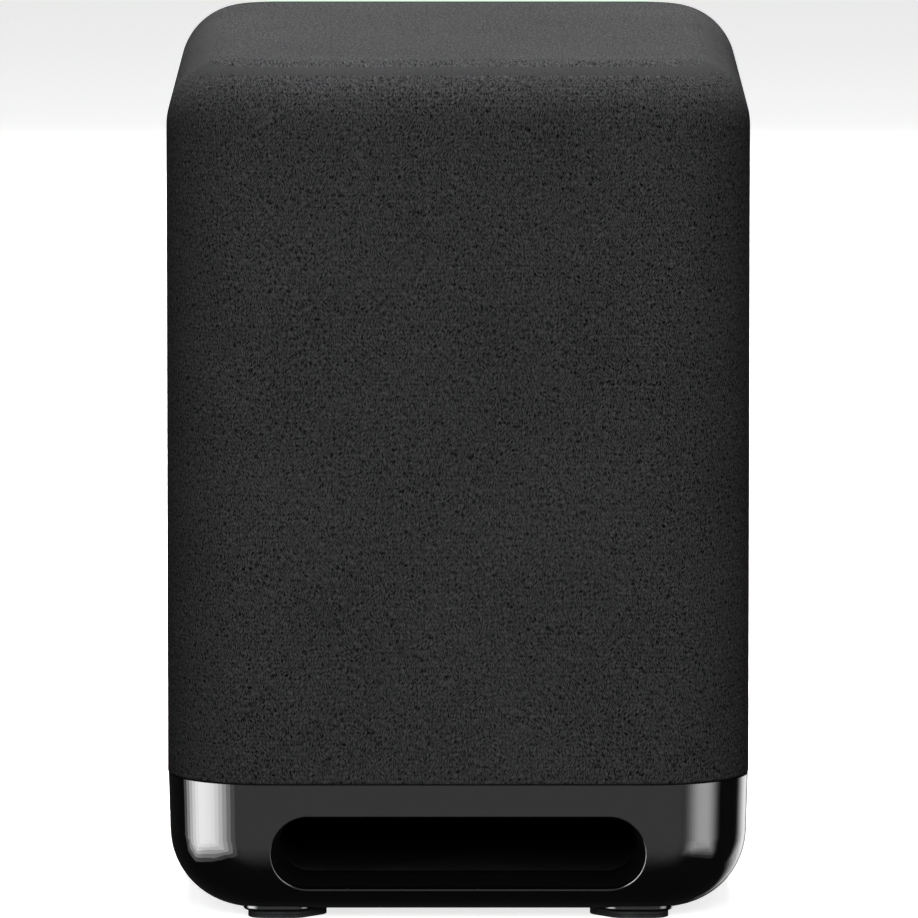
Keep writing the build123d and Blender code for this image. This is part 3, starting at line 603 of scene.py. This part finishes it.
def circuit_board(name, base):
    """A circuit board: solder mask over straight copper tracks, and scattered round pads."""
    board = Finish(name, base, 0.28, ior=1.5)
    body = board.place()
    x, _, z = board.axes(body)
    lanes = abs((x / 3.1).part() - 0.5).between(0.16, 0.2)
    rungs = abs((z / 5.3).part() - 0.5).between(0.3, 0.34)
    gate = board.noise(board.place((0.4, 1, 0.15)), 3, detail=0).above(0.5)
    tracks = (lanes * gate + rungs * (1 - gate)).clamped()
    pads = board.cells(board.place((1, 0.001, 1)), 4.2).between(0.16, 0.2, 1.0, 0.0)
    lit = tuple(min(1.0, c * 1.9) for c in base)
    masked = board.blend(tracks, base, lit)
    board.feed("Base Color", board.blend(pads, masked, (0.62, 0.60, 0.55)))
    board.feed("Metallic", pads)
    board.relief(tracks + pads, 0.04, 0.6)
    return board.material


def film(name, base, roughness=0.22, band=0.0):
    """Glossy film or sleeve, with fine overlaps along its length if band is set."""
    sleeve = Finish(name, base, roughness, ior=1.5)
    body = sleeve.place()
    wrinkle = sleeve.noise(sleeve.place((1, 0.4, 1)), 3.5, detail=3)
    # painted shade and highlight: colour darker in the wrinkles' hollows and lighter on their crests
    sleeve.shades(wrinkle.between(0.3, 0.7), 0.8, 1.2)
    height = wrinkle
    if band:
        height = wrinkle * 0.4 + (sleeve.axes(body)[1] / band).part()
    sleeve.relief(height, 0.05, 0.5)
    return sleeve.material


def clear_part(name, base, roughness, cloud):
    """Clear glass or a frosted light guide, a little cloudy inside."""
    clear = Finish(name, base, roughness, transmission_weight=0.75, ior=1.49)
    clouds = clear.noise(clear.place(), 1.5, detail=3)
    clear.shades(clouds.between(0.3, 0.7), 1 - cloud, 1.0)
    clear.feed("Roughness", clouds.between(0.3, 0.7, roughness, roughness + cloud))
    return clear.material


def loose_fibre(name, base):
    """White polyester wadding: crossing loose fibres with a soft sheen."""
    fibre = Finish(name, base, 0.95, sheen_weight=0.4, sheen_roughness=0.6, specular_ior_level=0.1)
    strands = fibre.noise(fibre.place((1, 0.25, 1)), 1.1, detail=7, roughness=0.8)
    tufts = fibre.noise(fibre.place(), 14, detail=3)
    fibre.shades((strands * 0.6 + tufts * 0.4).between(0.3, 0.7), 0.72, 1.1)
    fibre.relief(strands + tufts, 0.8, 0.7)
    return fibre.material


def extruded_alloy(name, base):
    """Extruded alloy: fine die lines along its length under a clear anodised skin."""
    return bare_metal(name, base, roughness=0.38, stretch=(6, 6, 0.05), mottle=30.0)


# A finish for each of the record's slots and one for the port's lining, from the base's settings. The
# lining's near-black colour is painted shade that darkens the slot's recess.
FINISHES = {
    "gloss_black": lambda s: gloss_moulding("gloss black moulding", tuple(s.shade), s.polish),
    "board": lambda s: fibreboard("raw fibreboard", (0.30, 0.19, 0.10)),
    # painted shade: the port lining is near black, far darker than the satin moulding, so the slot's recess
    # reads dark
    "port_black": lambda s: soft_rubber("port lining darkened as painted shade", (0.0012, 0.0012, 0.0013), 0.95, 0.1),
    "satin_black": lambda s: textured_moulding("etched black moulding", (0.016, 0.016, 0.017)),
    "foot_rubber": lambda s: soft_rubber("foot rubber", (0.022, 0.022, 0.023)),
    "foam_black": lambda s: closed_foam("gasket foam", (0.012, 0.012, 0.012)),
    "steel_black": lambda s: powder_coat("black powder coat", (0.02, 0.02, 0.021)),
    "steel_zinc": lambda s: bare_metal("zinc plated steel", (0.62, 0.62, 0.60)),
    "steel_dark": lambda s: powder_coat("black screw coat", (0.03, 0.03, 0.031), 0.34),
    "cone_pulp": lambda s: pressed_pulp("pressed pulp", (0.018, 0.017, 0.016)),
    "spider_cloth": lambda s: dipped_weave("dipped spider cloth", (0.50, 0.30, 0.12)),
    "kapton": lambda s: film("amber film", (0.50, 0.22, 0.04), 0.2),
    "copper": lambda s: wound_wire("wound copper", (0.80, 0.36, 0.18), 0.45, 1),
    "ferrite": lambda s: sintered_ferrite("ground ferrite", (0.035, 0.035, 0.038)),
    "surround_rubber": lambda s: soft_rubber("surround rubber", (0.014, 0.014, 0.015), 0.58, 0.15),
    "circuit_green": lambda s: circuit_board("circuit board", (0.008, 0.09, 0.035)),
    "alu": lambda s: extruded_alloy("extruded alloy", (0.70, 0.71, 0.72)),
    "chip_black": lambda s: textured_moulding("chip moulding", (0.02, 0.02, 0.02), 0.25, 0.55),
    "core_grey": lambda s: sintered_ferrite("transformer ferrite", (0.06, 0.06, 0.063)),
    "winding_tape": lambda s: film("yellow winding tape", (0.72, 0.52, 0.05), 0.25, 6.0),
    "cap_sleeve": lambda s: film("capacitor sleeve", (0.015, 0.02, 0.06), 0.25),
    "fuse_glass": lambda s: clear_part("fuse glass", (0.9, 0.93, 0.93), 0.03, 0.05),
    "pin_nickel": lambda s: bare_metal("nickel plating", (0.72, 0.70, 0.66), 0.2),
    "lens": lambda s: clear_part("frosted light guide", (0.85, 0.87, 0.88), 0.25, 0.15),
    "lead_pvc": lambda s: soft_rubber("lead sheath", (0.018, 0.018, 0.018), 0.5, 0.1),
    "wadding": lambda s: loose_fibre("polyester wadding", (0.72, 0.72, 0.69)),
}


def dress(piece, material):
    """Gives the piece this one material on every face."""
    piece.data.materials.clear()
    piece.data.materials.append(material)


def finish_of(slot):
    """The material of one of the record's slots, mixed the first time that it is asked for."""
    found = bpy.data.materials.get("slot " + slot)
    if found is None:
        found = FINISHES[slot](bpy.context.scene.subwoofer_base)
        found.name = "slot " + slot
    return found


# ---------------------------------------------------------------- operators
class SUBWOOFER_OT_knit_cover(bpy.types.Operator):
    """Build the knit cover over the cabinet, with its rear window"""

    bl_idname = "subwoofer.knit_cover"
    bl_label = "Knit Cover"

    def execute(self, context):
        """Flanks that roll over into the top, then a flat top drawn in to a spine along the middle."""
        settings = context.scene.subwoofer_cover
        half_width = COVER_HIGH.x
        half_depth = COVER_HIGH.y
        core, direction, run = rounded_ring(half_width, half_depth, settings.corner, 25, 40)
        low = COVER_LOW.z + 0.05 * MM
        shoulder = COVER_HIGH.z - settings.top
        wall_rows = 30
        hem = np.linspace(-np.pi / 2, 0, 6)
        roll = np.linspace(0, np.pi / 2, 25)
        inset = np.concatenate([
            settings.hem * (1 - np.cos(hem)),
            np.zeros(wall_rows),
            settings.top * (1 - np.cos(roll)),
        ])
        height = np.concatenate([
            low + settings.hem * (1 + np.sin(hem)),
            np.linspace(low + settings.hem, shoulder, wall_rows + 2)[1:-1],
            shoulder + settings.top * np.sin(roll),
        ])
        flanks = body_skin(core, direction, settings.corner, inset, height)
        rim = flanks[-1]
        middle = np.clip(rim[:, 1], half_width - half_depth, half_depth - half_width)
        towards = np.linspace(0, 1, 16)[1:, None, None]
        spine = np.stack([np.zeros(len(rim)), middle, rim[:, 2]], axis=1)
        flat = rim[None] * (1 - towards) + spine[None] * towards
        points = np.concatenate([flanks, flat])
        climb = np.concatenate([[0], np.cumsum(np.hypot(np.diff(inset), np.diff(height)))])
        beyond = climb[-1] + towards[:, 0, 0] * (half_width - settings.top)
        up = np.concatenate([climb, beyond])
        uv = np.stack(np.broadcast_arrays(run[None], up[:, None]), axis=2)
        faces = grid_faces(len(up), len(run))
        cover = make_piece("knit_cover", points, faces, uv, flip=True)
        settle(cover, ("cloth", "SOLIDIFY", {"thickness": settings.thickness, "offset": -1.0}))
        cutter = self.window_cutter(settings)
        cut = {"object": cutter, "operation": "DIFFERENCE", "solver": "EXACT"}
        settle(cover, ("window", "BOOLEAN", cut))
        bpy.data.objects.remove(cutter)
        cover.data.set_sharp_from_angle(angle=SHARP)
        yarn = tuple(settings.yarn)
        stitch = settings.stitch / MM
        dress(cover, knit_cloth("charcoal knit", yarn, stitch, settings.fleck, settings.relief))
        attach(cover, ENCLOSURE)
        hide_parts("fabric_cover")
        return {"FINISHED"}

    def window_cutter(self, settings):
        """A block with rounded corners through the cover's back, a little larger than the rear panel."""
        half_width = PANEL_HIGH.x + settings.window_gap
        half_height = (PANEL_HIGH.z - PANEL_LOW.z) / 2 + settings.window_gap
        centre = (PANEL_HIGH.z + PANEL_LOW.z) / 2
        core, direction, _ = rounded_ring(half_width, half_height, settings.window_corner, 13, 4)
        ring = core + settings.window_corner * direction
        beyond, inside = 5 * MM, 12 * MM
        depths = np.array([COVER_HIGH.y + beyond, COVER_HIGH.y - inside])[:, None]
        walls = np.stack(np.broadcast_arrays(ring[None, :, 0], depths, ring[None, :, 1] + centre), axis=2)
        hubs = walls.mean(axis=1, keepdims=True) * np.ones((1, len(ring), 1))
        points = np.concatenate([hubs[:1], walls, hubs[1:]])
        return make_piece("window_cutter", points, grid_faces(4, len(ring)), flip=True)


class SUBWOOFER_OT_drive_unit(bpy.types.Operator):
    """Build the rubber surround and the spider, which flex between the basket and the cone"""

    bl_idname = "subwoofer.drive_unit"
    bl_label = "Surround and Spider"

    def execute(self, context):
        settings = context.scene.subwoofer_driver
        axis_z = (SURROUND_HIGH.z + SURROUND_LOW.z) / 2
        self.add_surround(settings, axis_z)
        self.add_spider(settings, axis_z)
        return {"FINISHED"}

    def add_surround(self, settings, axis_z):
        """A half roll between two flat lips: depth = -roll sin a, radius = middle - roll cos a."""
        bend = np.linspace(0, np.pi, 41)
        middle = SURROUND_HIGH.x - settings.lip - settings.roll
        lip = np.linspace(settings.lip, 0, 5)[:-1]
        radius = np.concatenate([
            middle - settings.roll - lip,
            middle - settings.roll * np.cos(bend),
            middle + settings.roll + lip[::-1],
        ])
        depth = np.concatenate([np.zeros(4), -settings.roll * np.sin(bend), np.zeros(4)])
        section = thick_line(radius, depth, settings.rubber)
        points = turned_skin(section[0], section[1], axis_z, SURROUND_HIGH.y - settings.rubber / 2)
        surround = make_piece("rubber_surround", points, grid_faces(len(section[0]), ROUND_STEPS + 1))
        self.join_to_cone(surround, "surround", axis_z, middle + settings.roll, middle - settings.roll)

    def add_spider(self, settings, axis_z):
        """Rings of waves: depth = wave sin(turns), flat where the cloth is glued at both edges."""
        inner, waves_in = 20.4 * MM, 24.0 * MM
        outer = SPIDER_HIGH.x
        waves_out = outer - 8.3 * MM
        radius = np.concatenate([
            np.linspace(inner, waves_in, 4)[:-1],
            np.linspace(waves_in, waves_out, 24 * settings.waves + 1),
            np.linspace(waves_out, outer, 6)[1:],
        ])
        across = np.clip((radius - waves_in) / (waves_out - waves_in), 0, 1)
        depth = settings.wave * np.sin(TURN * settings.waves * across)
        middle = (SPIDER_HIGH.y + SPIDER_LOW.y) / 2
        section = thick_line(radius, depth, settings.cloth)
        points = turned_skin(section[0], section[1], axis_z, middle)
        spider = make_piece("woven_spider", points, grid_faces(len(section[0]), ROUND_STEPS + 1))
        self.join_to_cone(spider, "spider", axis_z, waves_out, waves_in)

    def join_to_cone(self, piece, node, axis_z, still_radius, moving_radius):
        """Marks the piece's sharp edges, gives it the finish of the node's slot, bakes its transform and
        hides the node. still_radius and moving_radius are not used.
        """
        slot = next(s["material_slot"] for s in frame["record"]["subparts"] if s["node"] == node)
        piece.data.set_sharp_from_angle(angle=SHARP)
        dress(piece, finish_of(slot))
        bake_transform(piece)
        place = np.zeros(len(piece.data.vertices) * 3)
        piece.data.vertices.foreach_get("co", place)
        place = place.reshape(-1, 3)
        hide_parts(node)


class SUBWOOFER_OT_wadding(bpy.types.Operator):
    """Build the soft wadding that lies under the cabinet's top"""

    bl_idname = "subwoofer.wadding"
    bl_label = "Damping Wadding"

    def execute(self, context):
        """A cushion whose sines and cosines are raised to small powers, with crossing waves for lumps."""
        settings = context.scene.subwoofer_wadding
        centre = (np.array(WADDING_HIGH) + np.array(WADDING_LOW)) / 2
        half = (np.array(WADDING_HIGH) - np.array(WADDING_LOW)) / 2 - settings.lumps
        rows, columns = 41, 121
        lift = np.linspace(-np.pi / 2, np.pi / 2, rows)[:, None]
        turn = np.linspace(0, TURN, columns)[None, :]

        def squared(value, power):
            """The value's size raised to a power below 1, which squares up a round form, with its sign."""
            return np.sign(value) * np.abs(value) ** power

        x = half[0] * squared(np.cos(lift), 0.25) * squared(np.cos(turn), 0.35)
        y = half[1] * squared(np.cos(lift), 0.25) * squared(np.sin(turn), 0.35)
        z = half[2] * squared(np.sin(lift), 0.7) * np.ones_like(turn)
        lumps = np.sin(x * 180 + 1.3) * np.sin(y * 210) + np.sin(x * 95 - y * 120)
        z = z + settings.lumps / 2 * lumps * np.cos(lift) ** 0.2
        points = np.stack([x, y, z], axis=2) + centre
        wadding = make_piece("soft_wadding", points, grid_faces(rows, columns))
        dress(wadding, finish_of("wadding"))
        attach(wadding, ENCLOSURE)
        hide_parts("damping_wadding")
        return {"FINISHED"}


class SUBWOOFER_OT_finishes(bpy.types.Operator):
    """Give every part of the frame the finish of its slot"""

    bl_idname = "subwoofer.finishes"
    bl_label = "Finishes"

    def execute(self, context):
        for entry in frame["record"]["subparts"]:
            slot = entry["material_slot"]
            if slot in FINISHES:
                dress(frame["nodes"][entry["node"]], finish_of(slot))
        # painted shade: the flare takes the near-black port lining so the slot's recess reads dark
        dress(frame["nodes"]["port_flare"], finish_of("port_black"))
        return {"FINISHED"}


class SUBWOOFER_OT_stage(bpy.types.Operator):
    """Set the pale floor, the soft lights and the camera"""

    bl_idname = "subwoofer.stage"
    bl_label = "Studio"

    def execute(self, context):
        settings = context.scene.subwoofer_stage
        self.add_floor()
        self.add_world(context.scene, settings)
        middle = (0, 0, 0.2)
        for side in SIDES:
            self.add_light("front", (side * 0.35, -3.4, 1.3), middle, (1.2, 1.2), settings.key)
            self.add_light("back", (side * 0.35, 3.4, 1.5), middle, (1.4, 1.4), settings.back)
            self.add_light("side", (side * 2.6, 1.9, 1.2), middle, (1.4, 1.4), settings.fill)
        self.add_light("top", (0, 0.55, 2.5), (0, 0, 0.3), (1.2, 1.2), settings.top)
        self.add_strips(settings)
        self.add_camera(context.scene, settings)
        context.scene.view_settings.view_transform = "Standard"
        return {"FINISHED"}

    def add_floor(self):
        """A pale round bowl: flat on the floor, then a quarter circle up to a wall beyond every camera."""
        turn = np.linspace(0, np.pi / 2, 25)
        around = np.linspace(0, TURN, 97)[None]
        flat, curve, top = 7.5, 1.5, 11.0
        out = np.concatenate([[0.001], flat + curve * np.sin(turn), [flat + curve]])[:, None]
        up = np.concatenate([[0], curve * (1 - np.cos(turn)), [top]])[:, None]
        points = np.stack(np.broadcast_arrays(out * np.cos(around), out * np.sin(around), up), axis=2)
        floor = make_piece("pale_floor", points, grid_faces(len(out), around.size))
        paper = Finish("studio paper", (0.86, 0.86, 0.86), 0.9, emission_strength=0.75)
        paper.surface.inputs["Emission Color"].default_value = (1, 1, 1, 1)
        dress(floor, paper.material)
        floor.visible_diffuse = False
        floor.visible_glossy = False

    def add_world(self, scene, settings):
        """A haze ahead of the object, which only mirroring parts see, that fades to the sides and below."""
        world = bpy.data.worlds.new("studio")
        world.use_nodes = True
        tree = world.node_tree
        direction = tree.nodes.new("ShaderNodeTexCoord").outputs["Generated"]
        split = tree.nodes.new("ShaderNodeSeparateXYZ")
        tree.links.new(direction, split.inputs[0])

        def ramp(socket, low, high):
            """0 at low and 1 at high, with a smooth rise between."""
            node = tree.nodes.new("ShaderNodeMapRange")
            node.interpolation_type = "SMOOTHSTEP"
            tree.links.new(socket, node.inputs["Value"])
            node.inputs["From Min"].default_value = low
            node.inputs["From Max"].default_value = high
            return node.outputs[0]

        def math(operation, *values):
            """The result of one Math node on sockets and numbers."""
            node = tree.nodes.new("ShaderNodeMath")
            node.operation = operation
            for place, value in enumerate(values):
                if isinstance(value, bpy.types.NodeSocket):
                    tree.links.new(value, node.inputs[place])
                else:
                    node.inputs[place].default_value = value
            return node.outputs[0]

        ahead = ramp(split.outputs["Y"], -0.45, -0.80)
        above = ramp(split.outputs["Z"], -0.92, -0.28)
        strength = math("MULTIPLY_ADD", math("MULTIPLY", ahead, above), settings.haze, settings.dusk)
        background = tree.nodes["Background"]
        tree.links.new(strength, background.inputs["Strength"])
        background.inputs["Color"].default_value = (1, 1, 1, 1)
        scene.world = world
        world.cycles_visibility.diffuse = False

    def add_strips(self, settings):
        """Tall soft strips that only the gloss parts mirror, between two bearings from straight ahead.

        Each strip is a stack of nested panels, so that its mirrored edges fade softly.
        """
        gloss = bpy.data.collections.new("gloss parts")
        for entry in frame["record"]["subparts"]:
            if entry["material_slot"] == "gloss_black":
                gloss.objects.link(frame["nodes"][entry["node"]])
        reach = 2.0
        high, lowest, highest = 0.9, -1.15, -0.35  # the panels' tops, and their feet from first to last
        narrowing = 0.45  # how much of the strip's width the last panel gives up at each side
        bend = 0.03  # from the sides to the middle of a front corner's curve
        corner = np.array([CAD_BOX[1][0] - bend, CAD_BOX[0][1] + bend])
        steps = (np.arange(settings.layers) + 0.5) / settings.layers
        weights = np.sin(np.pi * steps) / np.sin(np.pi * steps).sum()
        for name, side, start, end, radiance in (
            ("left strip", -1, 38, 118, settings.left_strip),
            ("right strip", 1, 42, 94, settings.right_strip),
            ("far strip", 1, 124, 172, settings.far_strip),
        ):
            foot = corner * (side, 1)
            for step, weight in zip(steps, weights):
                inset = step * narrowing * (end - start)
                low = lowest + (highest - lowest) * step
                bearings = np.radians([start + inset, end - inset])
                ends = np.stack([side * np.sin(bearings), -np.cos(bearings)], axis=1) * reach
                size = (np.linalg.norm(ends[0] - ends[1]), high - low)
                middle = (low + high) / 2
                power = radiance * weight * np.pi * size[0] * size[1]
                place = (*(ends.mean(axis=0) + foot), middle)
                aim = (*foot, middle)
                strip = self.add_light(name, place, aim, size, power, glossy=True, diffuse=False)
                strip.light_linking.receiver_collection = gloss

    def add_light(self, name, place, target, size, power, glossy=False, diffuse=True):
        """A soft rectangular light at place that faces target."""
        data = bpy.data.lights.new(name, "AREA")
        data.shape = "RECTANGLE"
        data.size, data.size_y = size
        data.energy = power
        light = bpy.data.objects.new(name, data)
        bpy.context.scene.collection.objects.link(light)
        aim = np.array(target) - np.array(place)
        pan = np.arctan2(-aim[0], aim[1])
        tilt = np.arctan2(aim[2], np.hypot(aim[0], aim[1]))
        light.rotation_euler = Euler((np.pi / 2 + tilt, 0, pan))
        light.location = place
        light.visible_camera = False
        light.visible_glossy = glossy
        light.visible_diffuse = diffuse
        return light

    def add_camera(self, scene, settings):
        """A long lens in front of the cabinet that looks slightly down."""
        data = bpy.data.cameras.new("camera")
        data.sensor_width = 36
        data.lens = settings.lens
        data.clip_end = 100
        camera = bpy.data.objects.new("camera", data)
        camera.location = (settings.aside, CAD_BOX[0][1] - settings.distance, settings.height)
        camera.rotation_euler = Euler((np.pi / 2 - settings.pitch, 0, 0))
        scene.collection.objects.link(camera)
        scene.camera = camera


# ---------------------------------------------------------------- panel and registration
class SUBWOOFER_PT_panel(bpy.types.Panel):
    """Lists the subwoofer's builders and their settings"""

    bl_label = "Subwoofer"
    bl_idname = "SUBWOOFER_PT_panel"
    bl_space_type = "VIEW_3D"
    bl_region_type = "UI"
    bl_category = "Subwoofer"

    def draw(self, context):
        for operator in OPERATORS:
            self.layout.operator(operator.bl_idname)
        for name, group in SETTINGS.items():
            box = self.layout.box()
            for key in group.__annotations__:
                box.prop(getattr(context.scene, name), key)


SETTINGS = {
    "subwoofer_cover": CoverSettings,
    "subwoofer_base": BaseSettings,
    "subwoofer_driver": DriverSettings,
    "subwoofer_wadding": WaddingSettings,
    "subwoofer_stage": StageSettings,
}
OPERATORS = (
    SUBWOOFER_OT_knit_cover,
    SUBWOOFER_OT_drive_unit,
    SUBWOOFER_OT_wadding,
    SUBWOOFER_OT_finishes,
    SUBWOOFER_OT_stage,
)


def register():
    for name, group in SETTINGS.items():
        bpy.utils.register_class(group)
        setattr(bpy.types.Scene, name, bpy.props.PointerProperty(type=group))
    for operator in OPERATORS:
        bpy.utils.register_class(operator)
    bpy.utils.register_class(SUBWOOFER_PT_panel)


def unregister():
    bpy.utils.unregister_class(SUBWOOFER_PT_panel)
    for operator in reversed(OPERATORS):
        bpy.utils.unregister_class(operator)
    for name, group in reversed(SETTINGS.items()):
        delattr(bpy.types.Scene, name)
        bpy.utils.unregister_class(group)


def main():
    """Builds every piece around the frame."""
    register()
    bpy.ops.subwoofer.finishes()
    bpy.ops.subwoofer.knit_cover()
    bpy.ops.subwoofer.drive_unit()
    bpy.ops.subwoofer.wadding()
    bpy.ops.subwoofer.stage()


if __name__ == "__main__":
    main()
